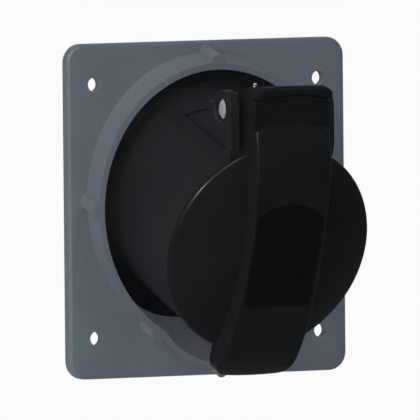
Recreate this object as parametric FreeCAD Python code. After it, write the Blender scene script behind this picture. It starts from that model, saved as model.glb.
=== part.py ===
import FreeCAD, Part
import math
import os
from FreeCAD import Placement, Rotation, Vector

# Millimetres. The plate stands in the XZ plane, its mounting face is y = 0 and it looks along -Y.
# "Reach" is the distance out along the tilted axis, "rise" is the distance across it, upward.

# Plate
PLATE_WIDTH = 100.0
PLATE_HEIGHT = 107.0
PLATE_THICKNESS = 3.7
PLATE_CORNER = 6.0
PLATE_EDGE_ROUND = 1.2
HOLE_PITCH = 81.0
HOLE_RADIUS = 2.3
GASKET_INSET = 1.8
GASKET_WIDTH = 2.4
GASKET_DEPTH = 1.6
RELIEF_WIDTH = 0.8
RELIEF_DEPTH = 0.5

# Tilted axis
TILT = 20.0
AXIS_RISE = 3.3

# Barrel
BORE_RADIUS = 32.2
MOUTH_RADIUS = BORE_RADIUS + 2.8
ROOT_RADIUS = BORE_RADIUS + 1.9
MOUTH_REACH = 41.8
ROOT_ROUND = 2.6
SPIGOT_RADIUS = ROOT_RADIUS + 2.2
REAR_BORE = BORE_RADIUS + 0.8
LINER_BORE = BORE_RADIUS - 1.2
DISC_THICKNESS = 3.0
FLOOR_REACH = 4.0
FLOOR_THICKNESS = 3.0
FLOOR_REAR = FLOOR_REACH - FLOOR_THICKNESS
CATCH_LIP = 1.4
CATCH_LENGTH = 2.45
CATCH_ANGLES = (45.0, 135.0, 225.0, 315.0)
CATCH_SWEEP = 14.0
KEYWAY_RADIUS = 2.9
KEYWAY_RISE = 1.2 - BORE_RADIUS
KEYWAY_COVER_RADIUS = KEYWAY_RADIUS + 1.3

# Grey well round the barrel, with its seat and neck behind the plate
SEAT_PLAY = 0.2
DISC_PLAY = 0.1
SEAT_REACH = -11.0
SEAT_WALL = 2.5
SEAT_OPENING = SPIGOT_RADIUS + SEAT_PLAY
DISC_REACH = SEAT_REACH + DISC_THICKNESS
SPIGOT_END = SEAT_REACH - SEAT_WALL - CATCH_LENGTH
MOAT = 7.45
WELL_RADIUS = ROOT_RADIUS + MOAT
WELL_WALL = 2.0
COLLAR_HEIGHT = 8.4
SEAL_INNER = SEAT_OPENING + 1.7
SEAL_WIDTH = 1.8
SEAL_DEPTH = 1.4
NECK_BORE = SEAT_OPENING + 1.7
NECK_RADIUS = NECK_BORE + 2.2
NECK_END = -19.5
COLLAR_RIB_RADIUS = 2.4
COLLAR_RIB_CLOCK = (0.0, 90.0, 149.0, 211.0, 270.0)

# Scoop: the collar's bulge that leaves room for fingers under the tongue
SCOOP_RADIUS = 25.4
SCOOP_BULGE = 3.45
SCOOP_OFFSET = WELL_RADIUS + SCOOP_BULGE - SCOOP_RADIUS
SCOOP_LEAN = 3.0

# Hinge
HINGE_BEHIND_MOUTH = 11.05
HINGE_OVER_MOUTH = 8.3
HINGE_REACH = MOUTH_REACH - HINGE_BEHIND_MOUTH
HINGE_RISE = MOUTH_RADIUS + HINGE_OVER_MOUTH
PIN_RADIUS = 3.2
PIN_PLAY = 0.05
PIN_RECESS = 1.2
PIN_RECESS_RADIUS = PIN_RADIUS + 0.8
PIN_CHAMFER = 0.4
EYE_RADIUS = PIN_RADIUS + 1.9
EAR_INNER = 15.6
EAR_THICKNESS = 3.0
EAR_OUTER = EAR_INNER + EAR_THICKNESS
EAR_ROUND = 6.2
EAR_AHEAD = 1.2
POCKET_DEPTH = 1.2
POCKET_FOOT = MOUTH_RADIUS - 2.6
POCKET_FRONT_RIM = 3.9
POCKET_RIDGE_RIM = 2.3
KNUCKLE_WIDTH = 4.7
KNUCKLE_PLAY = 0.3
KNUCKLE_OUTER = EAR_INNER - KNUCKLE_PLAY
KNUCKLE_INNER = KNUCKLE_OUTER - KNUCKLE_WIDTH
STOP_BEHIND_HINGE = 7.35
STOP_REACH = HINGE_REACH - STOP_BEHIND_HINGE
STOP_RISE = HINGE_RISE + 0.1
SADDLE_RISE = HINGE_RISE - 3.9
RIDGE_SLOPE = math.radians(28.8)
WEB_FOOT = math.sqrt(ROOT_RADIUS ** 2 - EAR_OUTER ** 2) - 1

# Lid spring
SPRING_WIRE = 0.55
SPRING_COIL = PIN_RADIUS + 1.15
SPRING_TURNS = 4
SPRING_PITCH = 1.3
SPRING_START = 0.8 - KNUCKLE_INNER
SPRING_FOOT_TURN = math.radians(55)
SPRING_PLAY = 0.45
SPRING_TOUCH = 0.05

# Lid
LID_PLAY = 0.3
LID_RADIUS = MOUTH_RADIUS + 0.5
LID_REAR = MOUTH_REACH + LID_PLAY
LID_EDGE_ROUND = 1.9
LID_EDGE_SHARE = 0.95
LID_WALL = 2.2
DOME_HEIGHT = 9.9
DOME_APEX = LID_REAR + DOME_HEIGHT
DOME_RADIUS = 78.0
LID_SEAL_OUTER = MOUTH_RADIUS - 0.8
LID_SEAL_WIDTH = 2.6
LID_SEAL_INNER = LID_SEAL_OUTER - LID_SEAL_WIDTH
LID_SEAL_LIP = 0.3
LID_SEAL_DEPTH = 2.2
SEAL_LAND = 0.4

# Raised band on the lid, from the lip over the dome to the tongue. Heights are over the lid's rear.
LIP_OVER_MOUTH = 20.8
LIP_TOP = MOUTH_RADIUS + LIP_OVER_MOUTH
LIP_REACH = MOUTH_REACH + 1.4
GRIP_HEIGHT = 12.15
GRIP_FOOT = LIP_TOP - GRIP_HEIGHT
BAND_HALF_MIDDLE = 13.4
BAND_HALF_WAIST = 13.2
BAND_HALF_TONGUE = 13.7
BAND_WALL = 2.2
BAND_ROUND = 1.1
BAND_RIM_SHORTEST = 8.0
TONGUE_BELOW_LID = 7.6
TONGUE_END = -LID_RADIUS - TONGUE_BELOW_LID
BAND_FRONT = (
    (3.3, GRIP_FOOT),
    (8.8, 33.4),
    (11.9, 19.5),
    (13.0, 2.0),
    (12.2, -15.5),
    (9.6, -29.5),
    (5.7, TONGUE_END + 4.1),
    (2.3, TONGUE_END),
)
TONGUE_REAR = LID_REAR - 0.6
TONGUE_LENGTH = 21.1
TONGUE_TOP = TONGUE_END + TONGUE_LENGTH
TONGUE_CROWN = 0.5
TONGUE_CORNER_WIDTH = 5.0
TONGUE_CORNER_HEIGHT = 5.1
LIP_CROWN = 0.3
LIP_CORNER_WIDTH = 4.8
LIP_CORNER_HEIGHT = 2.9
WAIST_FOOT = 26.0
WAIST_LENGTH = 5.9
WAIST_TOP = GRIP_FOOT + WAIST_LENGTH
HOOD_PLAY = 0.4
HOOD_WALL_REAR = 4.3
HOOD_WALL_RISE = 30.0
GRIP_STEPS = (0.0, 4.1, 7.15, 8.55)
GRIP_REACH = LID_REAR + 3.0
GRIP_LEDGE = 0.3
GRIP_SLOPE = 0.6
GRIP_FALL = 0.25
LIP_GROOVE = 1.1
LIP_FRONT = LIP_TOP - 2.4
SPRING_TIP = LIP_TOP - 2.7
LABEL_HALF_WIDTH = 11.9
LABEL_BOTTOM = -15.5
LABEL_SHOULDER = 15.0
LABEL_TOP = 19.5
LABEL_DEPTH = 0.6
LABEL_SINK = 0.15
LABEL_CORNER = 1.5

# Contacts
CARRIER_MARGIN = 5.4
CARRIER_SINK = 6.2
CARRIER_RADIUS = BORE_RADIUS - CARRIER_MARGIN
CARRIER_FRONT = MOUTH_REACH - CARRIER_SINK
CARRIER_CHAMFER = 1.0
CONTACT_CIRCLE = 14.6
CONTACT_ANGLES = {"1": -60.0, "2": 30.0, "3": 120.0, "earth": 210.0}
PHASE_PIN_RADIUS = 3.0
EARTH_PIN_RADIUS = 4.0
SLEEVE_WALL = 1.1
SLEEVE_PLAY = 0.05
SLEEVE_FLOAT = 1.0
COVER_REAR = CARRIER_FRONT - 2.2
SLEEVE_FRONT = COVER_REAR - SLEEVE_PLAY
SLEEVE_FLOOR = FLOOR_REACH - 1.5
PIN_LEAD = 0.4
SLEEVE_SLIT = 0.8
SLEEVE_SLIT_TURN = 20.0
SLEEVE_SLIT_END = 15.0
RING_SETBACK = 5.4
RING_REACH = SLEEVE_FRONT - RING_SETBACK
RING_LENGTH = 3.0
RING_THICKNESS = 0.6
RING_GAP = 2.0
BLOCK_PLAY = 0.1
BLOCK_RADIUS = 20.9
BLOCK_REAR = -14.0
BARRIER_LENGTH = 16.0
BARRIER_REAR = BLOCK_REAR - BARRIER_LENGTH
BARRIER_WALL = 2.4
BARRIER_ANGLES = (75.0, 165.0)
CLAMP_SIDE = 10.8
CLAMP_FRONT = BLOCK_REAR - 0.2
CLAMP_LENGTH = 13.3
CLAMP_REAR = CLAMP_FRONT - CLAMP_LENGTH
WIRE_SIDE = 5.6
WIRE_DEPTH = 11.0
CLAMP_SCREW_RADIUS = 2.0
CLAMP_SCREW_INSET = 5.5
CLAMP_SCREW_REACH = CLAMP_REAR + CLAMP_SCREW_INSET
CLAMP_TIP_RISE = 1.45
BLOCK_SCREW_RADIUS = 1.45
BLOCK_SCREW_CIRCLE = 23.4
BLOCK_SCREW_ANGLES = (75.0, 255.0)
BLOCK_SCREW_GRIP = 9.0
BLOCK_SCREW_TIP = FLOOR_REACH + BLOCK_SCREW_GRIP
HEAD_TO_SHANK = 1.6
HEAD_HEIGHT = 2.0
SLOT_WIDTH = 0.9
SLOT_DEPTH = 0.9


def point(x, reach, rise):
    return Vector(x, -reach, rise)


def face_of(points):
    return Part.Face(Part.makePolygon(points + points[:1]))


def turned(profile):
    """Revolves a (radius, reach) outline about the axis."""
    outline = face_of([point(radius, reach, 0) for radius, reach in profile])
    return outline.revolve(Vector(0, 0, 0), Vector(0, 1, 0), 360)


def slab(profile, x_from, x_to):
    """Extrudes a (reach, rise) outline across the part."""
    outline = face_of([point(x_from, reach, rise) for reach, rise in profile])
    return outline.extrude(Vector(x_to - x_from, 0, 0))


def rod(radius, reach_from, reach_to, x=0, rise=0):
    return Part.makeCylinder(radius, reach_to - reach_from, point(x, reach_from, rise), Vector(0, -1, 0))


def tube(outer, inner, reach_from, reach_to, x=0, rise=0):
    return rod(outer, reach_from, reach_to, x, rise).cut(rod(inner, reach_from, reach_to, x, rise))


def cross_rod(radius, x_from, x_to, reach=HINGE_REACH, rise=HINGE_RISE):
    return Part.makeCylinder(radius, x_to - x_from, point(x_from, reach, rise), Vector(1, 0, 0))


def clock(radius, angle):
    """Place on a circle about the axis, as (x, rise), clockwise from the top seen from the front."""
    turn = math.radians(angle)
    return radius * math.sin(turn), radius * math.cos(turn)


def about_axis(shape, angle):
    """Turns a shape made at the top round to a clock angle."""
    shape.rotate(Vector(0, 0, 0), Vector(0, 1, 0), angle)
    return shape


def tilted(shape):
    shape.Placement = Placement(
        Vector(0, -PLATE_THICKNESS, AXIS_RISE), Rotation(Vector(1, 0, 0), TILT)
    ).multiply(shape.Placement)
    return shape


def mirrored(shape):
    return shape.fuse(shape.mirror(Vector(0, 0, 0), Vector(1, 0, 0)))


def between(y_front, y_rear):
    """Wide block of space from one depth to another, in the part's own frame."""
    reach = 2 * PLATE_HEIGHT
    return Part.makeBox(2 * reach, y_rear - y_front, 2 * reach, Vector(-reach, y_front, -reach))


def rounded_plate(width, height, y_front, y_rear, corner):
    box = Part.makeBox(width, y_rear - y_front, height, Vector(-width / 2, y_front, -height / 2))
    corners = [edge for edge in box.Edges if abs(edge.tangentAt(edge.FirstParameter).y) > 0.99]
    return box.makeFillet(corner, corners)


def leaning(shape):
    """Turns a shape made along the axis to the scoop's own lean."""
    shape.rotate(point(0, 0, -SCOOP_OFFSET), Vector(1, 0, 0), SCOOP_LEAN)
    return shape


def scoop(radius, reach_from, reach_to):
    return leaning(rod(radius, reach_from, reach_to, 0, -SCOOP_OFFSET))


# Grey housing
def plate():
    blank = rounded_plate(PLATE_WIDTH, PLATE_HEIGHT, -PLATE_THICKNESS, 0, PLATE_CORNER)
    front = [edge for edge in blank.Edges if edge.BoundBox.YMax < -PLATE_THICKNESS + 0.01]
    blank = blank.makeFillet(PLATE_EDGE_ROUND, front)
    for x in (-HOLE_PITCH / 2, HOLE_PITCH / 2):
        for z in (-HOLE_PITCH / 2, HOLE_PITCH / 2):
            start = Vector(x, PLATE_THICKNESS, z)
            blank = blank.cut(Part.makeCylinder(HOLE_RADIUS, 3 * PLATE_THICKNESS, start, Vector(0, -1, 0)))
    return blank


def gasket_frame():
    """Rubber frame let into the mounting face, flush with it."""
    width = PLATE_WIDTH - 2 * GASKET_INSET
    height = PLATE_HEIGHT - 2 * GASKET_INSET
    corner = PLATE_CORNER - GASKET_INSET
    outer = rounded_plate(width, height, -GASKET_DEPTH, 0, corner)
    across = 2 * GASKET_WIDTH
    inner = rounded_plate(width - across, height - across, -GASKET_DEPTH, 0, corner - GASKET_WIDTH)
    return outer.cut(inner)


def flange_housing():
    """Plate with the collar, its ribs and scoop on the front and the barrel's seat and neck behind.

    The neck leans, so a shallow relief round it leaves the panel's cut-out room to lie flat.
    """
    outer = WELL_RADIUS + WELL_WALL
    seat_rear = SEAT_REACH - SEAT_WALL
    rim = -PLATE_THICKNESS - COLLAR_HEIGHT
    ribs = [rod(COLLAR_RIB_RADIUS, -outer, outer, *clock(outer, angle)) for angle in COLLAR_RIB_CLOCK]
    ribs.append(leaning(rod(COLLAR_RIB_RADIUS, -outer, outer, 0, -SCOOP_OFFSET - SCOOP_RADIUS - WELL_WALL)))
    foot = rod(outer, -outer, 0).multiFuse(ribs)
    well = rod(outer, seat_rear, outer).fuse(scoop(SCOOP_RADIUS + WELL_WALL, seat_rear, outer))
    neck = rod(NECK_RADIUS, NECK_END, SEAT_REACH)
    relief = rod(outer + RELIEF_WIDTH, seat_rear, outer)
    relief = tilted(relief.fuse(rod(NECK_RADIUS + RELIEF_WIDTH, NECK_END, outer)))
    body = plate().cut(relief.common(between(-RELIEF_DEPTH, 0))).multiFuse([
        tilted(well).common(between(rim, PLATE_HEIGHT)),
        tilted(foot).common(between(rim, -PLATE_THICKNESS / 2)),
        tilted(neck),
    ])
    hollow = rod(WELL_RADIUS, SEAT_REACH, outer).multiFuse([
        scoop(SCOOP_RADIUS, SEAT_REACH, outer),
        rod(SEAT_OPENING, NECK_END - 1, outer),
        rod(NECK_BORE, NECK_END - 1, seat_rear),
        seal_ring(),
    ])
    return body.cut(tilted(hollow)).cut(gasket_frame()).removeSplitter()


def seal_ring():
    return tube(SEAL_INNER + SEAL_WIDTH, SEAL_INNER, SEAT_REACH - SEAL_DEPTH, SEAT_REACH)


# Barrel
def ridge_reach(rise, rim=0.0):
    """Reach of the ridge's sloping rear side at a rise, or of a line that far inside it."""
    return STOP_REACH - (STOP_RISE - rise) / math.tan(RIDGE_SLOPE) + rim / math.sin(RIDGE_SLOPE)


def ear_reach(rise, rim=0.0):
    """Reach of an ear's front edge, which stands parallel to the plate and touches the boss."""
    lean = math.radians(TILT)
    ahead = EAR_AHEAD + EAR_ROUND - rim
    return HINGE_REACH + (ahead - (rise - HINGE_RISE) * math.sin(lean)) / math.cos(lean)


def ear():
    """Web from the barrel's root up to a round boss at the pin, with a sunk pocket in its outer face."""
    lean = math.radians(TILT)
    middle_reach = HINGE_REACH + EAR_AHEAD * math.cos(lean)
    middle_rise = HINGE_RISE + EAR_AHEAD * math.sin(lean)
    boss = cross_rod(EAR_ROUND, EAR_INNER, EAR_OUTER, middle_reach, middle_rise)
    ahead = EAR_AHEAD + EAR_ROUND
    toe = HINGE_RISE + (ahead - (MOUTH_REACH - HINGE_REACH) * math.cos(lean)) / math.sin(lean)
    web = slab([
        (ridge_reach(WEB_FOOT), WEB_FOOT),
        (MOUTH_REACH, WEB_FOOT),
        (MOUTH_REACH, toe),
        (middle_reach + EAR_ROUND * math.cos(lean), middle_rise + EAR_ROUND * math.sin(lean)),
        (middle_reach, middle_rise),
        (STOP_REACH, STOP_RISE),
    ], EAR_INNER, EAR_OUTER)
    pocket_top = STOP_RISE - POCKET_RIDGE_RIM / math.cos(RIDGE_SLOPE)
    pocket = slab([
        (ridge_reach(POCKET_FOOT, POCKET_RIDGE_RIM), POCKET_FOOT),
        (ear_reach(POCKET_FOOT, POCKET_FRONT_RIM), POCKET_FOOT),
        (ear_reach(HINGE_RISE, POCKET_FRONT_RIM), HINGE_RISE),
        (STOP_REACH, pocket_top),
    ], EAR_OUTER - POCKET_DEPTH, EAR_OUTER + 1)
    return web.fuse(boss).cut(pocket.cut(boss))


def saddle():
    """Low solid ridge between the ears that the hood meets when the lid is open."""
    return slab([
        (STOP_REACH, SADDLE_RISE),
        (STOP_REACH, WEB_FOOT),
        (STOP_REACH - (SADDLE_RISE - WEB_FOOT) / math.tan(RIDGE_SLOPE), WEB_FOOT),
    ], -EAR_INNER, EAR_INNER)


def catch(angle):
    """Wedge that snaps behind the seat of the housing."""
    face = SEAT_REACH - SEAT_WALL - SLEEVE_PLAY
    root = SPIGOT_RADIUS - CATCH_LIP / 4
    outline = face_of([
        point(root, face, 0),
        point(SPIGOT_RADIUS + CATCH_LIP, face, 0),
        point(root, SPIGOT_END, 0),
    ])
    wedge = outline.revolve(Vector(0, 0, 0), Vector(0, 1, 0), CATCH_SWEEP)
    return about_axis(wedge, angle - CATCH_SWEEP / 2)


def barrel():
    """Tapered tube with the keyway inside and the hinge ears on top, standing on the foot disc."""
    middle = ROOT_ROUND * (1 - math.sqrt(0.5))
    keyway_cover = rod(KEYWAY_COVER_RADIUS, DISC_REACH, MOUTH_REACH, 0, KEYWAY_RISE)
    body = turned([
        (0, MOUTH_REACH),
        (MOUTH_RADIUS, MOUTH_REACH),
        (ROOT_RADIUS, DISC_REACH + ROOT_ROUND),
        (ROOT_RADIUS + middle, DISC_REACH + middle),
        (ROOT_RADIUS + ROOT_ROUND, DISC_REACH),
        (0, DISC_REACH),
    ]).multiFuse([mirrored(ear()), saddle(), keyway_cover])
    hollow = rod(REAR_BORE, DISC_REACH, FLOOR_REACH).multiFuse([
        rod(BORE_RADIUS, FLOOR_REACH, MOUTH_REACH),
        rod(KEYWAY_RADIUS, FLOOR_REACH, MOUTH_REACH, 0, KEYWAY_RISE),
        cross_rod(PIN_RADIUS, -EAR_OUTER, EAR_OUTER),
        mirrored(cross_rod(PIN_RECESS_RADIUS, EAR_OUTER - PIN_RECESS, EAR_OUTER)),
    ])
    return body.cut(hollow).removeSplitter()


def barrel_foot():
    """Foot disc with its tab in the scoop, the spigot with its catches, and a liner up inside the barrel."""
    disc_radius = WELL_RADIUS - DISC_PLAY
    tab = scoop(SCOOP_RADIUS - DISC_PLAY, SEAT_REACH - 5, DISC_REACH + 5)
    tab = tab.common(tube(2 * WELL_RADIUS, SPIGOT_RADIUS, SEAT_REACH, DISC_REACH))
    ring = turned([
        (LINER_BORE, FLOOR_REAR),
        (REAR_BORE, FLOOR_REAR),
        (REAR_BORE, DISC_REACH),
        (disc_radius, DISC_REACH),
        (disc_radius, SEAT_REACH),
        (SPIGOT_RADIUS, SEAT_REACH),
        (SPIGOT_RADIUS, SPIGOT_END),
        (LINER_BORE, SPIGOT_END),
    ])
    return ring.multiFuse([tab] + [catch(angle) for angle in CATCH_ANGLES]).removeSplitter()


# Contacts
def contact_size(name):
    pin = EARTH_PIN_RADIUS if name == "earth" else PHASE_PIN_RADIUS
    return pin + SLEEVE_PLAY, pin + SLEEVE_PLAY + SLEEVE_WALL


def contact_carrier():
    """Insulator that fills the barrel's middle, with a plain bore in which each contact floats."""
    body = rod(CARRIER_RADIUS, FLOOR_REACH, COVER_REAR)
    for name, angle in CONTACT_ANGLES.items():
        outer = contact_size(name)[1]
        body = body.cut(rod(outer + SLEEVE_FLOAT, FLOOR_REACH, COVER_REAR, *clock(CONTACT_CIRCLE, angle)))
    for angle in BLOCK_SCREW_ANGLES:
        place = clock(BLOCK_SCREW_CIRCLE, angle)
        body = body.cut(rod(BLOCK_SCREW_RADIUS, FLOOR_REACH, BLOCK_SCREW_TIP, *place))
    return body


def contact_cover():
    """Front of the carrier, with a hole for each pin that holds its sleeve back."""
    body = turned([
        (0, CARRIER_FRONT),
        (CARRIER_RADIUS - CARRIER_CHAMFER, CARRIER_FRONT),
        (CARRIER_RADIUS, CARRIER_FRONT - CARRIER_CHAMFER),
        (CARRIER_RADIUS, COVER_REAR),
        (0, COVER_REAR),
    ])
    for name, angle in CONTACT_ANGLES.items():
        bore = contact_size(name)[0]
        body = body.cut(rod(bore + PIN_LEAD, COVER_REAR, CARRIER_FRONT, *clock(CONTACT_CIRCLE, angle)))
    return body


def contact_sleeve(name):
    """Slit tube for the pin and a square clamp for the wire, in one piece of brass."""
    bore, outer = contact_size(name)
    clamp = square_rod(CLAMP_SIDE, CLAMP_REAR, CLAMP_FRONT)
    wire_hole = square_rod(WIRE_SIDE, CLAMP_REAR, CLAMP_REAR + WIRE_DEPTH)
    slit_length = SLEEVE_FRONT - SLEEVE_SLIT_END
    corner = point(-SLEEVE_SLIT / 2, SLEEVE_FRONT, -2 * outer)
    slit = Part.makeBox(SLEEVE_SLIT, slit_length, 4 * outer, corner)
    screw_hole = across_contact(CLAMP_SCREW_RADIUS, 0, CLAMP_SIDE)
    slit.rotate(Vector(0, 0, 0), Vector(0, 1, 0), SLEEVE_SLIT_TURN)
    body = rod(outer, CLAMP_FRONT, SLEEVE_FRONT).fuse(clamp)
    for hollow in (rod(bore, SLEEVE_FLOOR, SLEEVE_FRONT), slit, wire_hole, screw_hole):
        body = body.cut(hollow)
    return at_contact(body, name)


def square_rod(side, reach_from, reach_to):
    return Part.makeBox(side, reach_to - reach_from, side, point(-side / 2, reach_to, -side / 2))


def across_contact(radius, rise_from, rise_to):
    """Rod square to a contact, where the clamping screw goes in."""
    start = point(0, CLAMP_SCREW_REACH, rise_from)
    return Part.makeCylinder(radius, rise_to - rise_from, start, Vector(0, 0, 1))


def at_contact(shape, name):
    """Moves a shape made on the axis out to its contact, its top facing outward."""
    shape.translate(Vector(0, 0, CONTACT_CIRCLE))
    return about_axis(shape, CONTACT_ANGLES[name])


def sleeve_ring(name):
    outer = contact_size(name)[1]
    ring = tube(outer + RING_THICKNESS, outer, RING_REACH, RING_REACH + RING_LENGTH)
    corner = point(-RING_GAP / 2, RING_REACH + RING_LENGTH, -2 * outer)
    gap = Part.makeBox(RING_GAP, RING_LENGTH, 2 * outer, corner)
    return at_contact(ring.cut(gap), name)


def terminal_screw(name):
    """Slotted clamping screw whose tip stands over the wire."""
    head_rise = CLAMP_SIDE / 2
    head_radius = HEAD_TO_SHANK * CLAMP_SCREW_RADIUS
    shank = across_contact(CLAMP_SCREW_RADIUS, CLAMP_TIP_RISE, head_rise)
    head = across_contact(head_radius, head_rise, head_rise + HEAD_HEIGHT)
    corner = point(-SLOT_WIDTH / 2, CLAMP_SCREW_REACH + head_radius, head_rise + HEAD_HEIGHT - SLOT_DEPTH)
    slot = Part.makeBox(SLOT_WIDTH, 2 * head_radius, HEAD_HEIGHT, corner)
    return at_contact(shank.fuse(head).cut(slot), name)


def terminal_block():
    """Rear insulator: a disc against the shoulder in the barrel and a boss round the sleeves."""
    body = rod(REAR_BORE - BLOCK_PLAY, FLOOR_REAR, FLOOR_REACH)
    body = body.fuse(rod(BLOCK_RADIUS, BLOCK_REAR, FLOOR_REAR))
    for name, angle in CONTACT_ANGLES.items():
        outer = contact_size(name)[1]
        body = body.cut(rod(outer + SLEEVE_PLAY, BLOCK_REAR, FLOOR_REACH, *clock(CONTACT_CIRCLE, angle)))
    for angle in BLOCK_SCREW_ANGLES:
        place = clock(BLOCK_SCREW_CIRCLE, angle)
        body = body.cut(rod(BLOCK_SCREW_RADIUS, FLOOR_REAR, FLOOR_REACH, *place))
    return body


def terminal_barrier():
    """Crossed walls that part the wire clamps."""
    walls = []
    for angle in BARRIER_ANGLES:
        corner = point(-BARRIER_WALL / 2, BLOCK_REAR, -BLOCK_RADIUS)
        wall = Part.makeBox(BARRIER_WALL, BLOCK_REAR - BARRIER_REAR, 2 * BLOCK_RADIUS, corner)
        walls.append(about_axis(wall, angle))
    return walls[0].fuse(walls[1]).removeSplitter()


def block_screw(angle):
    """Slotted screw that pulls the terminal block and the carrier together."""
    place = clock(BLOCK_SCREW_CIRCLE, angle)
    head_radius = HEAD_TO_SHANK * BLOCK_SCREW_RADIUS
    shank = rod(BLOCK_SCREW_RADIUS, FLOOR_REAR, BLOCK_SCREW_TIP, *place)
    head = rod(head_radius, FLOOR_REAR - HEAD_HEIGHT, FLOOR_REAR, *place)
    corner = point(place[0] - SLOT_WIDTH / 2, FLOOR_REAR - HEAD_HEIGHT + SLOT_DEPTH, place[1] - head_radius)
    slot = Part.makeBox(SLOT_WIDTH, HEAD_HEIGHT, 2 * head_radius, corner)
    return shank.fuse(head).cut(slot)


# Lid
def arc(start, middle, end):
    """Arc through three (x, rise) places, seen from the front."""
    return Part.Arc(*[point(x, 0, rise) for x, rise in (start, middle, end)]).toShape()


def flipped(edge):
    return edge.mirror(Vector(0, 0, 0), Vector(1, 0, 0))


def rounded_end(side, width, height, crown):
    """Corner arc from the band's side, and the flat arc across the band's end up to its crown."""
    x, rise = side
    bulge = math.sqrt(0.5)
    edge = (x - width, rise + height)
    corner = arc(side, (x - width * (1 - bulge), rise + height * bulge), edge)
    return corner, arc(edge, (0, crown), (-edge[0], edge[1]))


def side_face(inset, corners):
    """Side outline of the band: its curved front, that far in, closed through (reach, rise) corners."""
    knots = [(LID_REAR + height - inset, rise) for height, rise in BAND_FRONT]
    tongue = (knots[-1][0], knots[-1][1] + inset)
    places = [point(0, *place) for place in knots[:-1] + [tongue]]
    front = Part.BSplineCurve()
    front.interpolate(places)
    closing = places[-1:] + [point(0, *place) for place in corners] + places[:1]
    return Part.Face(Part.Wire([front.toShape()] + Part.makePolygon(closing).Edges))


def front_outline(inset):
    """Front view of the band: waist under the flared lip, widening again to the tongue."""
    half_widths = [
        (BAND_HALF_TONGUE, TONGUE_END + TONGUE_CROWN + TONGUE_CORNER_HEIGHT),
        (BAND_HALF_TONGUE, TONGUE_TOP),
        (BAND_HALF_MIDDLE, 0.0),
        (BAND_HALF_MIDDLE, WAIST_FOOT),
        (BAND_HALF_WAIST, GRIP_FOOT),
        (BAND_HALF_WAIST, WAIST_TOP),
        (BAND_HALF_TONGUE, LIP_TOP - LIP_CROWN - LIP_CORNER_HEIGHT),
    ]
    half_widths = [(x - inset, rise) for x, rise in half_widths]
    side = Part.BSplineCurve()
    side.interpolate([point(x, 0, rise) for x, rise in half_widths])
    side = side.toShape()
    tongue_corner, tongue = rounded_end(
        half_widths[0], TONGUE_CORNER_WIDTH, inset - TONGUE_CORNER_HEIGHT, TONGUE_END + inset
    )
    lip_corner, lip = rounded_end(
        half_widths[-1], LIP_CORNER_WIDTH, LIP_CORNER_HEIGHT - inset, LIP_TOP - inset
    )
    edges = [side, tongue_corner, lip_corner]
    edges += [flipped(edge) for edge in edges] + [tongue, lip]
    return Part.Face(Part.Wire(Part.__sortEdges__(edges)))


def band_solid(inset, corners):
    profile = side_face(inset, corners)
    profile.translate(Vector(-LID_RADIUS, 0, 0))
    outline = front_outline(inset).extrude(Vector(0, -2 * DOME_APEX, 0))
    return profile.extrude(Vector(2 * LID_RADIUS, 0, 0)).common(outline)


def grip_cut():
    """Ring-shaped steps under the lip, round the barrel's axis as their arcs are."""
    front = DOME_APEX + LID_RADIUS
    reach = GRIP_REACH
    radii = [GRIP_FOOT + step for step in GRIP_STEPS]
    outline = [(radii[0], front)]
    for start, end in zip(radii, radii[1:]):
        outline.append((start, reach - GRIP_LEDGE))
        reach -= GRIP_LEDGE + GRIP_FALL
        outline.append((start + GRIP_SLOPE, reach))
        outline.append((end, reach))
    outline += [(radii[-1], reach - LIP_GROOVE), (LIP_FRONT, reach - LIP_GROOVE), (LIP_FRONT, front)]
    return turned(outline)


def dome(inset):
    return Part.makeSphere(DOME_RADIUS - inset, point(0, DOME_APEX - DOME_RADIUS, 0))


def lid_cap():
    """Round domed cover with a soft outer edge, no rounder than its straight side has room for."""
    cap = rod(LID_RADIUS, LID_REAR, DOME_APEX + LID_WALL).common(dome(0))
    level = [edge for edge in cap.Edges if edge.BoundBox.YLength < 0.01]
    front = [edge for edge in level if edge.BoundBox.YMax < -LID_REAR - 0.1]
    slope = math.asin(LID_RADIUS / DOME_RADIUS)
    side = DOME_APEX - DOME_RADIUS * (1 - math.cos(slope)) - LID_REAR
    room = side * math.tan((math.pi / 2 + slope) / 2)
    return cap.makeFillet(min(LID_EDGE_ROUND, LID_EDGE_SHARE * room), front)


def band():
    """Raised band as a solid, its hood reaching back round the hinge and its tongue below the lid."""
    eye_top = HINGE_RISE + EYE_RADIUS
    blank = band_solid(0, [
        (TONGUE_REAR + 1, TONGUE_END),
        (TONGUE_REAR, TONGUE_END + 1.2),
        (TONGUE_REAR, 2.0 - LID_RADIUS),
        (LID_REAR, 3.0 - LID_RADIUS),
        (LID_REAR, HOOD_WALL_RISE),
        (LID_REAR - HOOD_WALL_REAR, HOOD_WALL_RISE),
        (HINGE_REACH + 3.0, HINGE_RISE),
        (HINGE_REACH, HINGE_RISE),
        (HINGE_REACH, eye_top),
        (HINGE_REACH + 1.5, eye_top + 2.6),
        (LIP_REACH, LIP_TOP),
        (LIP_REACH + 1.4, LIP_TOP - 1.0),
    ])
    raised = [edge for edge in blank.Edges if edge.BoundBox.YMax < -LID_REAR - BAND_WALL]
    rim = [edge for edge in raised if edge.Length > BAND_RIM_SHORTEST and edge.BoundBox.ZLength > BAND_ROUND / 4]
    return blank.makeFillet(BAND_ROUND, rim).cut(grip_cut())


def lid():
    shell = lid_cap().fuse(band())
    shell = shell.fuse(mirrored(cross_rod(EYE_RADIUS, KNUCKLE_INNER, KNUCKLE_OUTER)))
    shell = shell.cut(lid_hollow()).cut(spring_space())
    shell = shell.cut(rod(MOUTH_RADIUS + HOOD_PLAY, 0, LID_REAR))
    shell = shell.cut(cross_rod(PIN_RADIUS + PIN_PLAY, -KNUCKLE_OUTER, KNUCKLE_OUTER))
    return shell.cut(label_sheet(LABEL_DEPTH, 0)).removeSplitter()


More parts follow.
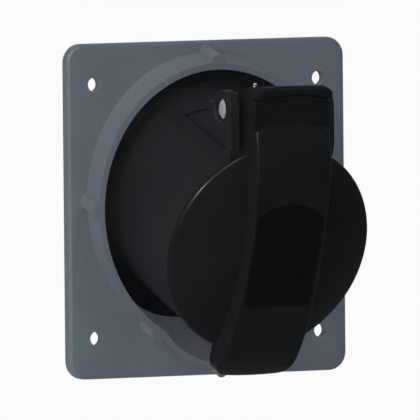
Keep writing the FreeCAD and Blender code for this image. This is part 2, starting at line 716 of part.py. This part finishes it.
def lid_hollow():
    """Space behind the lid: seal groove, dome, the band over it, and the open hood and tongue."""
    inside = LID_SEAL_INNER - SEAL_LAND
    behind = LID_REAR / 2
    ceiling = HINGE_RISE + 4.2
    groove = rod(LID_SEAL_OUTER, LID_REAR - 1, MOUTH_REACH + LID_SEAL_DEPTH)
    shallow = dome(LID_WALL).common(rod(inside, LID_REAR - 1, DOME_APEX))
    deep = band_solid(BAND_WALL, [
        (behind, TONGUE_END + BAND_WALL),
        (behind, ceiling),
        (HINGE_REACH + 1.5, ceiling + 0.6),
        (GRIP_REACH - 4.6, ceiling + 4.3),
        (GRIP_REACH - 2.9, GRIP_FOOT + 1.0),
    ])
    middle = deep.common(rod(inside, LID_REAR - 1, 2 * DOME_APEX))
    ends = deep.cut(rod(LID_RADIUS + 0.6, LID_REAR - 2, 2 * DOME_APEX))
    return groove.multiFuse([shallow, middle, ends])


def label_prism():
    half = LABEL_HALF_WIDTH
    top = arc((half, LABEL_SHOULDER), (0, LABEL_TOP), (-half, LABEL_SHOULDER))
    corners = [(-half, LABEL_SHOULDER), (-half, LABEL_BOTTOM), (half, LABEL_BOTTOM), (half, LABEL_SHOULDER)]
    sides = Part.makePolygon([point(x, 0, rise) for x, rise in corners])
    prism = Part.Face(Part.Wire([top] + sides.Edges)).extrude(Vector(0, -2 * DOME_APEX, 0))
    along = [edge for edge in prism.Edges if edge.Length > DOME_APEX]
    lower = [edge for edge in along if edge.BoundBox.ZMax < LABEL_BOTTOM + 0.01]
    return prism.makeFillet(LABEL_CORNER, lower)


def label_sheet(depth, sink):
    """Sheet that follows the band's front, from sink to depth below it."""
    behind = LID_REAR / 2
    closing = [(behind, TONGUE_END), (behind, BAND_FRONT[0][1])]
    solids = []
    for inset in (sink, depth):
        face = side_face(inset, closing)
        face.translate(Vector(-LID_RADIUS, 0, 0))
        solids.append(face.extrude(Vector(2 * LID_RADIUS, 0, 0)))
    return solids[0].cut(solids[1]).common(label_prism())


def label_plate():
    return label_sheet(LABEL_DEPTH, LABEL_SINK)


def lid_seal():
    """Soft ring in the lid that rests on the barrel's mouth."""
    top = MOUTH_REACH + LID_SEAL_DEPTH
    return turned([
        (LID_SEAL_INNER, MOUTH_REACH),
        (LID_SEAL_OUTER - LID_SEAL_LIP, MOUTH_REACH),
        (LID_SEAL_OUTER, LID_REAR),
        (LID_SEAL_OUTER, top),
        (LID_SEAL_INNER, top),
    ])


# Hinge pieces
def hinge_pin():
    end = EAR_OUTER - PIN_RECESS
    pin = cross_rod(PIN_RADIUS, -end, end)
    rims = [edge for edge in pin.Edges if edge.BoundBox.XLength < 0.01]
    return pin.makeChamfer(PIN_CHAMFER, rims)


def spring_leg(start, end):
    """Straight wire that runs a little into the coil it leaves."""
    heading = (end - start).normalize()
    buried = start - heading * SPRING_WIRE
    return Part.makeCylinder(SPRING_WIRE, buried.distanceToPoint(end), buried, heading)


def lid_spring():
    """Torsion spring on the pin: one leg stands behind the hood, the other lies on the barrel."""
    length = SPRING_PITCH * (SPRING_TURNS + SPRING_FOOT_TURN / (2 * math.pi))
    helix = Part.makeHelix(SPRING_PITCH, length, SPRING_COIL)
    section = [
        Vector(SPRING_COIL + SPRING_WIRE * math.cos(turn), 0, SPRING_WIRE * math.sin(turn))
        for turn in (math.radians(60 * side) for side in range(7))
    ]
    coil = Part.Wire(helix.Edges).makePipeShell([Part.makePolygon(section)], True, True)
    forward, down, along = Vector(0, -1, 0), Vector(0, 0, -1), Vector(1, 0, 0)
    centre = point(SPRING_START, HINGE_REACH, HINGE_RISE)
    coil.Placement = Placement(centre, Rotation(forward, down, along, "XYZ"))
    upper = centre + forward * SPRING_COIL
    tip = point(SPRING_START, HINGE_REACH + SPRING_COIL, SPRING_TIP)
    turned_forward = forward * math.cos(SPRING_FOOT_TURN) + down * math.sin(SPRING_FOOT_TURN)
    heading = down * math.cos(SPRING_FOOT_TURN) - forward * math.sin(SPRING_FOOT_TURN)
    lower = centre + along * length + turned_forward * SPRING_COIL
    drop = lower.z - (ROOT_RADIUS + MOUTH_RADIUS) / 2 - SPRING_WIRE
    foot = lower + heading * (drop / math.cos(SPRING_FOOT_TURN))
    return coil.multiFuse([spring_leg(upper, tip), spring_leg(lower, foot)]).Solids[0]


def spring_space():
    """Room in the lid for the coil, and a notch in the hood's rear edge for the upper leg."""
    space = SPRING_WIRE + SPRING_PLAY
    coil = cross_rod(SPRING_COIL + space, -KNUCKLE_INNER, KNUCKLE_INNER)
    notch_front = HINGE_REACH + SPRING_COIL + SPRING_WIRE + SPRING_TOUCH
    corner = point(SPRING_START - space, notch_front, HINGE_RISE)
    notch = Part.makeBox(2 * space, EYE_RADIUS + SPRING_COIL, 2 * EYE_RADIUS, corner)
    return coil.fuse(notch)


PIECES = {
    "flange_housing": flange_housing,
    "panel_gasket": gasket_frame,
    "barrel": barrel,
    "barrel_foot": barrel_foot,
    "barrel_seal": seal_ring,
    "contact_carrier": contact_carrier,
    "contact_cover": contact_cover,
    "terminal_block": terminal_block,
    "terminal_barrier": terminal_barrier,
    "lid": lid,
    "label_plate": label_plate,
    "lid_seal": lid_seal,
    "hinge_pin": hinge_pin,
    "lid_spring": lid_spring,
}
UPRIGHT = ("flange_housing", "panel_gasket")


def save(name, shape):
    shape.exportStep("parts/" + name + ".step")


def build():
    os.makedirs("parts", exist_ok=True)
    for name, make in PIECES.items():
        shape = make()
        save(name, shape if name in UPRIGHT else tilted(shape))
    for name in CONTACT_ANGLES:
        save("contact_sleeve_" + name, tilted(contact_sleeve(name)))
        save("sleeve_ring_" + name, tilted(sleeve_ring(name)))
        save("terminal_screw_" + name, tilted(terminal_screw(name)))
    for number, angle in enumerate(BLOCK_SCREW_ANGLES, 1):
        save("block_screw_" + str(number), tilted(block_screw(angle)))


build()
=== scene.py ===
import math

import bmesh
import bpy
from mathutils import Matrix, Vector


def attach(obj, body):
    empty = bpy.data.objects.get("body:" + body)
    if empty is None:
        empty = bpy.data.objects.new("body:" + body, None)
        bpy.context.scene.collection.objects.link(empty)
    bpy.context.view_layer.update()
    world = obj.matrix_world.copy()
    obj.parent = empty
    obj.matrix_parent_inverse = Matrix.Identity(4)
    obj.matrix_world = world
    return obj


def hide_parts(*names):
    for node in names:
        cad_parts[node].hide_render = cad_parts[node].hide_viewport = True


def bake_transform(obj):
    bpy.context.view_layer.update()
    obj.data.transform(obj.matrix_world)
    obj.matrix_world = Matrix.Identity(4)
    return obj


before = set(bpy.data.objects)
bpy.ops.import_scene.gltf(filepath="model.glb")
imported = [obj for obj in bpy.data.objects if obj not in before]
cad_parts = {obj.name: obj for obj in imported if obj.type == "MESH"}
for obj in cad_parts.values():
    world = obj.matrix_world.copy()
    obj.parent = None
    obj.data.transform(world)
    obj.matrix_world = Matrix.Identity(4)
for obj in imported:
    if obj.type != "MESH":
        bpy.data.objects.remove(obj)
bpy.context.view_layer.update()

MM = 0.001
SOCKET = "socket_body"
LID = "lid_body"

# Front of the plate, and the tilted axis of the barrel that starts there, in millimetres
PLATE_FRONT = -3.7
AXIS_RISE = 3.3
TILT = math.radians(20)
AXIS_START = Vector((0, PLATE_FRONT, AXIS_RISE)) * MM

# Middle of the hinge pin, out along that axis and up across it
HINGE_REACH = 30.75
HINGE_RISE = 43.3


def place(x, reach, rise):
    """Point given across the part, out along the tilted axis and up across it, in millimetres."""
    out = Vector((0, -math.cos(TILT), -math.sin(TILT)))
    up = Vector((0, -math.sin(TILT), math.cos(TILT)))
    return AXIS_START + (Vector((x, 0, 0)) + out * reach + up * rise) * MM


# Colour and nodes
def linear(hex_colour):
    """An sRGB hex colour as the linear colour that a shader takes."""
    parts = [int(hex_colour[i:i + 2], 16) / 255 for i in (1, 3, 5)]
    return [p / 12.92 if p <= 0.04045 else ((p + 0.055) / 1.055) ** 2.4 for p in parts] + [1.0]


def add(tree, kind, settings=None, **inputs):
    """Adds a node. An input is a value or another node's output; i0 and i1 name the first and second."""
    node = tree.nodes.new(kind)
    for name, value in (settings or {}).items():
        setattr(node, name, value)
    for name, value in inputs.items():
        socket = node.inputs[int(name[1:]) if name[1:].isdigit() else name.replace("_", " ")]
        if isinstance(value, bpy.types.NodeSocket):
            tree.links.new(value, socket)
        else:
            socket.default_value = value
    return node


def surface(name):
    """A new material with its own shader, and the object's own coordinates to lay patterns on."""
    material = bpy.data.materials.new(name)
    material.use_nodes = True
    tree = material.node_tree
    tree.nodes.clear()
    shader = add(tree, "ShaderNodeBsdfPrincipled")
    add(tree, "ShaderNodeOutputMaterial", Surface=shader.outputs["BSDF"])
    where = add(tree, "ShaderNodeTexCoord").outputs["Object"]
    return material, tree, shader, where


# Noise seldom leaves this part of 0 to 1, so this part is what gets spread over a range
PATTERN_LOW = 0.3
PATTERN_HIGH = 0.7


def grain(tree, where, size_mm, detail=3.0):
    """Noise in lumps of about that size."""
    noise = add(tree, "ShaderNodeTexNoise", Vector=where, Scale=1 / (size_mm * MM), Detail=detail)
    return noise.outputs["Fac"]


def between(tree, pattern, low, high):
    """Spreads a pattern over a range."""
    spread = add(
        tree, "ShaderNodeMapRange", Value=pattern,
        From_Min=PATTERN_LOW, From_Max=PATTERN_HIGH, To_Min=low, To_Max=high,
    )
    return spread.outputs["Result"]


def two_tones(tree, pattern, dark, light):
    """Colour that follows a pattern from a dark tone to a light one."""
    ramp = add(tree, "ShaderNodeValToRGB", Fac=pattern)
    low, high = ramp.color_ramp.elements
    low.position = PATTERN_LOW
    low.color = linear(dark)
    high.position = PATTERN_HIGH
    high.color = linear(light)
    return ramp.outputs["Color"]


def vary(tree, shader, pattern, tones, roughness, swing):
    """Lets one pattern steer the colour between two tones, and the roughness by a swing either way."""
    tree.links.new(two_tones(tree, pattern, *tones), shader.inputs["Base Color"])
    varied = between(tree, pattern, roughness - swing, roughness + swing)
    tree.links.new(varied, shader.inputs["Roughness"])


def emboss(tree, shader, pattern, strength, depth_mm):
    """Raises a pattern into fine relief."""
    relief = add(tree, "ShaderNodeBump", Strength=strength, Distance=depth_mm * MM, Height=pattern)
    tree.links.new(relief.outputs["Normal"], shader.inputs["Normal"])


# Plastics and rubber
POLYMER_IOR = 1.5
CLOUD_MM = 14.0
CLOUD_SWING = 0.03
TEXTURE_DETAIL = 2.0
TEXTURE_STRENGTH = 0.6
SKIN_ROUGHNESS = 0.2


def moulded_plastic(name, tones, roughness, specular, texture_mm, depth_mm, skin_gloss):
    """Plastic as it leaves the mould.

    It gives the eye broad faint clouding, a fine spark-eroded texture, and a resin-rich skin that draws
    thin lights along the edges.
    """
    material, tree, shader, where = surface(name)
    vary(tree, shader, grain(tree, where, CLOUD_MM), tones, roughness, CLOUD_SWING)
    texture = grain(tree, where, texture_mm, TEXTURE_DETAIL)
    emboss(tree, shader, texture, TEXTURE_STRENGTH, depth_mm)
    shader.inputs["IOR"].default_value = POLYMER_IOR
    shader.inputs["Specular IOR Level"].default_value = specular
    shader.inputs["Coat Weight"].default_value = skin_gloss
    shader.inputs["Coat Roughness"].default_value = SKIN_ROUGHNESS
    return material


def seal_rubber():
    """Nitrile rubber, pressed: dull, almost black, with a little bloom."""
    material, tree, shader, where = surface("nitrile_rubber_pressed")
    bloom = grain(tree, where, size_mm=3.0)
    vary(tree, shader, bloom, ("#161718", "#1F2021"), roughness=0.825, swing=0.075)
    shader.inputs["IOR"].default_value = POLYMER_IOR
    shader.inputs["Specular IOR Level"].default_value = 0.3
    return material


# Metals
# A wave texture at scale 1 runs through this many ridges in one unit
WAVE_RIDGES = 10 / math.pi
STAIN_MM = 2.5
STAIN_SWING = 0.05


def turned_metal(name, tones, roughness, ridge_mm):
    """Metal cut on a lathe or drawn through a die: fine even lines that spread the shine across them."""
    material, tree, shader, where = surface(name)
    lines = add(
        tree, "ShaderNodeTexWave", {"wave_type": "BANDS", "bands_direction": "X"},
        Vector=where, Scale=1 / (ridge_mm * MM * WAVE_RIDGES), Distortion=1.5, Detail=2.0,
    )
    vary(tree, shader, grain(tree, where, STAIN_MM), tones, roughness, STAIN_SWING)
    emboss(tree, shader, lines.outputs["Fac"], strength=0.25, depth_mm=0.02)
    shader.inputs["Metallic"].default_value = 1.0
    return material


GREY = moulded_plastic(
    "grey_polyamide_moulded", ("#575D65", "#5B6169"), roughness=0.55, specular=0.06,
    texture_mm=0.35, depth_mm=0.005, skin_gloss=0.02,
)
BARREL_BLACK = moulded_plastic(
    "black_polyamide_moulded", ("#1A1C1E", "#1D1F21"), roughness=0.45, specular=0.01,
    texture_mm=0.40, depth_mm=0.004, skin_gloss=0.01,
)
LID_BLACK = moulded_plastic(
    "black_polyamide_polished_mould", ("#131415", "#151618"), roughness=0.40, specular=0.01,
    texture_mm=0.60, depth_mm=0.002, skin_gloss=0.012,
)
PANEL_BLACK = moulded_plastic(
    "black_acrylic_sheet", ("#0A0B0D", "#0C0D0F"), roughness=0.30, specular=0.01,
    texture_mm=0.80, depth_mm=0.001, skin_gloss=0.008,
)
CARRIER_BLACK = moulded_plastic(
    "black_phenolic_pressed", ("#141415", "#181819"), roughness=0.60, specular=0.05,
    texture_mm=0.50, depth_mm=0.012, skin_gloss=0.02,
)
BLOCK_GREY = moulded_plastic(
    "pale_grey_polyamide_moulded", ("#8E9092", "#96989A"), roughness=0.60, specular=0.20,
    texture_mm=0.50, depth_mm=0.012, skin_gloss=0.05,
)
RUBBER = seal_rubber()
BRASS = turned_metal("brass_turned", ("#B08A4A", "#C09A58"), roughness=0.30, ridge_mm=0.785)
STEEL = turned_metal("steel_drawn_bright", ("#CCCDCD", "#DADBDB"), roughness=0.30, ridge_mm=0.628)
SPRING_STEEL = turned_metal("spring_steel_drawn", ("#8C8D8E", "#9C9D9E"), roughness=0.40, ridge_mm=0.471)
SCREW_STEEL = turned_metal("steel_zinc_plated", ("#A9ABAD", "#BCBEC0"), roughness=0.35, ridge_mm=0.628)


def finish_with(piece, material):
    """Gives a piece that one material."""
    piece.data.materials.clear()
    piece.data.materials.append(material)


# Material of each CAD node whose name starts so
CAD_FINISH = {
    "panel_gasket": RUBBER,
    "barrel_seal": RUBBER,
    "lid_seal": RUBBER,
    "contact_carrier": CARRIER_BLACK,
    "contact_cover": CARRIER_BLACK,
    "contact_sleeve": BRASS,
    "sleeve_ring": SPRING_STEEL,
    "terminal_block": BLOCK_GREY,
    "terminal_barrier": BLOCK_GREY,
    "terminal_screw": SCREW_STEEL,
    "block_screw": SCREW_STEEL,
    "label_plate": PANEL_BLACK,
    "hinge_pin": STEEL,
}
for node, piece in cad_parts.items():
    for start, material in CAD_FINISH.items():
        if node.startswith(start):
            finish_with(piece, material)

# Moulded shells, with the small radius that a mould leaves on every edge
WELD_MM = 0.002
FLAT_ANGLE = math.radians(0.4)
EDGE_ANGLE = math.radians(32)
EDGE_SEGMENTS = 3


def moulded(node, body, material, edge_mm):
    """Copy of a CAD node with its facets joined, its flat faces made whole and its edges rounded."""
    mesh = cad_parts[node].data.copy()
    shell = bpy.data.objects.new(node + "_shell", mesh)
    bpy.context.scene.collection.objects.link(shell)
    work = bmesh.new()
    work.from_mesh(mesh)
    bmesh.ops.remove_doubles(work, verts=work.verts, dist=WELD_MM * MM)
    bmesh.ops.dissolve_limit(work, angle_limit=FLAT_ANGLE, verts=work.verts, edges=work.edges)
    for face in work.faces:
        face.smooth = True
    work.to_mesh(mesh)
    work.free()
    mesh.set_sharp_from_angle(angle=EDGE_ANGLE)
    rounding = shell.modifiers.new("edge", "BEVEL")
    rounding.width = edge_mm * MM
    rounding.segments = EDGE_SEGMENTS
    rounding.limit_method = "ANGLE"
    rounding.angle_limit = EDGE_ANGLE
    rounding.harden_normals = True
    finish_with(shell, material)
    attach(shell, body)
    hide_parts(node)


moulded("flange_housing", SOCKET, GREY, edge_mm=0.35)
moulded("barrel", SOCKET, BARREL_BLACK, edge_mm=0.25)
moulded("barrel_foot", SOCKET, BARREL_BLACK, edge_mm=0.25)
moulded("lid", LID, LID_BLACK, edge_mm=0.40)

# Spring of the lid: a coil on the hinge axis, one end up in the lid's hood, the other down on the barrel
COIL_RADIUS = 4.35
COIL_START = -9.8
COIL_PITCH = 1.3
COIL_TURNS = 4 + 55 / 360
WIRE_RADIUS = 0.55
WIRE_SIDES = 16
TOP_END_RISE = 53.5
FOOT_END_RISE = 35.1
POINTS_PER_TURN = 48


def spring_path():
    """The middle of the wire from its upper end, round the coil, to its foot."""
    steps = round(COIL_TURNS * POINTS_PER_TURN)
    path = [place(COIL_START, HINGE_REACH + COIL_RADIUS, TOP_END_RISE)]
    for step in range(steps + 1):
        turn = 2 * math.pi * COIL_TURNS * step / steps
        along = COIL_START + COIL_PITCH * COIL_TURNS * step / steps
        out, up = COIL_RADIUS * math.cos(turn), -COIL_RADIUS * math.sin(turn)
        path.append(place(along, HINGE_REACH + out, HINGE_RISE + up))
    foot_length = (HINGE_RISE + up - FOOT_END_RISE) / math.cos(turn)
    foot = (HINGE_REACH + out - foot_length * math.sin(turn), FOOT_END_RISE)
    path.append(place(COIL_START + COIL_PITCH * COIL_TURNS, *foot))
    return path


def wire_tree():
    """Geometry nodes that sweep a round wire along an edge path."""
    tree = bpy.data.node_groups.new("wire_along_a_path", "GeometryNodeTree")
    kinds = {"Path": "Geometry", "Wire radius": "Float", "Sides": "Int", "Finish": "Material"}
    inputs = {}
    for name, kind in kinds.items():
        socket = tree.interface.new_socket(name, in_out="INPUT", socket_type="NodeSocket" + kind)
        inputs[name] = socket.identifier
    tree.interface.new_socket("Wire", in_out="OUTPUT", socket_type="NodeSocketGeometry")
    given = add(tree, "NodeGroupInput").outputs
    line = add(tree, "GeometryNodeMeshToCurve", Mesh=given["Path"]).outputs[0]
    ring = add(
        tree, "GeometryNodeCurvePrimitiveCircle", Radius=given["Wire radius"], Resolution=given["Sides"]
    ).outputs[0]
    wire = add(tree, "GeometryNodeCurveToMesh", Curve=line, Profile_Curve=ring, Fill_Caps=True).outputs[0]
    whole = add(tree, "GeometryNodeRealizeInstances", Geometry=wire).outputs[0]
    done = add(tree, "GeometryNodeSetMaterial", Geometry=whole, Material=given["Finish"]).outputs[0]
    add(tree, "NodeGroupOutput", Wire=done)
    return tree, inputs


def lid_spring():
    """The wound wire, in place of the solid spring."""
    path = spring_path()
    line = bpy.data.meshes.new("lid_spring_path")
    line.from_pydata(path, [(i, i + 1) for i in range(len(path) - 1)], [])
    spring = bpy.data.objects.new("lid_spring_wire", line)
    bpy.context.scene.collection.objects.link(spring)
    tree, inputs = wire_tree()
    sweep = spring.modifiers.new("wire", "NODES")
    sweep.node_group = tree
    sweep[inputs["Wire radius"]] = WIRE_RADIUS * MM
    sweep[inputs["Sides"]] = WIRE_SIDES
    sweep[inputs["Finish"]] = SPRING_STEEL
    swept = spring.evaluated_get(bpy.context.evaluated_depsgraph_get())
    wire = bpy.data.meshes.new_from_object(swept)
    spring.modifiers.clear()
    spring.data = wire
    for face in wire.polygons:
        face.use_smooth = len(face.vertices) == 4
    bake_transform(spring)
    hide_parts("lid_spring")


lid_spring()

# Camera: far off with a long lens, so that the view has next to no perspective, as in the photograph
FRAME_PIXELS = 420
PIXELS_PER_MM = 3.130
AZIMUTH = math.radians(-27.99)
ELEVATION = math.radians(2.74)
ROLL = math.radians(0.543)
DISTANCE = 6.3
CLIP_DISTANCE = 25.2
PLATE_CENTRE_PIXEL = (207.81, 207.78)


def aim_camera():
    """Camera whose picture has the middle of the plate's front at its place in the photograph."""
    level = Vector((math.cos(AZIMUTH), math.sin(AZIMUTH), 0))
    outward = Vector((math.sin(AZIMUTH), -math.cos(AZIMUTH), 0))
    back = outward * math.cos(ELEVATION) + Vector((0, 0, math.sin(ELEVATION)))
    upright = back.cross(level)
    right = level * math.cos(ROLL) - upright * math.sin(ROLL)
    up = level * math.sin(ROLL) + upright * math.cos(ROLL)
    pixel = MM / PIXELS_PER_MM
    target = Vector((0, PLATE_FRONT * MM, 0))
    target += right * (FRAME_PIXELS / 2 - PLATE_CENTRE_PIXEL[0]) * pixel
    target += up * (PLATE_CENTRE_PIXEL[1] - FRAME_PIXELS / 2) * pixel
    lens = bpy.data.cameras.new("camera")
    lens.lens = lens.sensor_width * DISTANCE / (FRAME_PIXELS * pixel)
    lens.clip_end = CLIP_DISTANCE
    camera = bpy.data.objects.new("camera", lens)
    turn = Matrix((right, up, back)).transposed().to_4x4()
    camera.matrix_world = Matrix.Translation(target + back * DISTANCE) @ turn
    bpy.context.scene.collection.objects.link(camera)
    bpy.context.scene.camera = camera


# Floor well below the fixed plate, and the white that camera, mirrors and glass see round the object
BACKDROP_WHITE = linear("#FBFBFB")
FLOOR_TONE = linear("#D8D8D8")
FLOOR_HALF = 3.0
FLOOR_LEVEL = -0.35
FLOOR_GRAIN_MM = 40.0
FLOOR_GLOW = 0.7
AMBIENT = 0.12


def either(tree, one, other):
    """1 where one or the other is."""
    return add(tree, "ShaderNodeMath", {"operation": "MAXIMUM"}, i0=one, i1=other).outputs[0]


def seen_directly(tree):
    """1 where a camera, mirror or glass ray looks, 0 where the light for dull surfaces comes from."""
    ray = add(tree, "ShaderNodeLightPath").outputs
    mirrored = either(tree, ray["Is Camera Ray"], ray["Is Glossy Ray"])
    return either(tree, mirrored, ray["Is Transmission Ray"])


def pale_floor():
    """Painted floor that glows a little where it is seen, and still shows the object's shadow."""
    mesh = bpy.data.meshes.new("floor")
    square = ((-1, -1), (1, -1), (1, 1), (-1, 1))
    corners = [(x * FLOOR_HALF, y * FLOOR_HALF, FLOOR_LEVEL) for x, y in square]
    mesh.from_pydata(corners, [], [(0, 1, 2, 3)])
    floor = bpy.data.objects.new("floor", mesh)
    bpy.context.scene.collection.objects.link(floor)
    material, tree, shader, where = surface("floor_paint")
    shader.inputs["Base Color"].default_value = FLOOR_TONE
    tree.links.new(grain(tree, where, FLOOR_GRAIN_MM), shader.inputs["Roughness"])
    paint = shader.outputs["BSDF"]
    output = paint.links[0].to_socket
    glow = add(tree, "ShaderNodeEmission", Color=BACKDROP_WHITE, Strength=1.0).outputs["Emission"]
    share = add(
        tree, "ShaderNodeMath", {"operation": "MULTIPLY"}, i0=seen_directly(tree), i1=FLOOR_GLOW
    ).outputs[0]
    both = add(tree, "ShaderNodeMixShader", i0=share, i1=paint, i2=glow)
    tree.links.new(both.outputs["Shader"], output)
    finish_with(floor, material)


def white_room():
    """World that looks white, and lights dull surfaces faintly from all round."""
    world = bpy.data.worlds.new("studio")
    bpy.context.scene.world = world
    world.use_nodes = True
    tree = world.node_tree
    tree.nodes.clear()
    room = add(tree, "ShaderNodeBackground", Color=linear("#FFFFFF"), Strength=AMBIENT).outputs[0]
    paper = add(tree, "ShaderNodeBackground", Color=BACKDROP_WHITE, Strength=1.0).outputs[0]
    both = add(tree, "ShaderNodeMixShader", i0=seen_directly(tree), i1=room, i2=paper)
    add(tree, "ShaderNodeOutputWorld", Surface=both.outputs["Shader"])


# Lamps: name, the way towards it, its size in metres, its brightness, and whether it casts a shadow.
# Brightness 1 makes white paper that faces the lamp white.
LAMP_DISTANCE = 2.4
KEY_WAY = (-0.80, -0.50, 0.36)
LAMPS = (
    ("key", KEY_WAY, 1.4, 0.32, True),
    ("key_haze", KEY_WAY, 1.4, 1.10, False),
    ("top_haze", (0.10, -0.35, 0.93), 1.2, 0.46, False),
    ("back", (0.40, 0.90, -0.05), 1.4, 0.50, True),
)

# Small bright lamps that only shine in gloss, for the fine lights along the edges
GLINTS = (
    ("side_glint", (-0.75, -0.50, 0.43), 0.45, 8.0),
    ("top_glint", (-0.30, -0.62, 0.72), 0.40, 2.0),
)


def hang_lamp(name, way, size, brightness, shadow=True):
    """Square lamp at the lamps' distance, turned towards the part."""
    light = bpy.data.lights.new(name, "AREA")
    light.use_shadow = shadow
    light.size = size
    light.energy = brightness * (math.pi * LAMP_DISTANCE) ** 2
    lamp = bpy.data.objects.new(name, light)
    lamp.location = Vector(way).normalized() * LAMP_DISTANCE
    lamp.rotation_mode = "QUATERNION"
    lamp.rotation_quaternion = (-Vector(way)).to_track_quat("-Z", "Y")
    bpy.context.scene.collection.objects.link(lamp)
    return lamp


aim_camera()
pale_floor()
white_room()
for lamp_line in LAMPS:
    hang_lamp(*lamp_line)
for lamp_line in GLINTS:
    hang_lamp(*lamp_line).visible_diffuse = False
bpy.context.scene.view_settings.view_transform = "Standard"
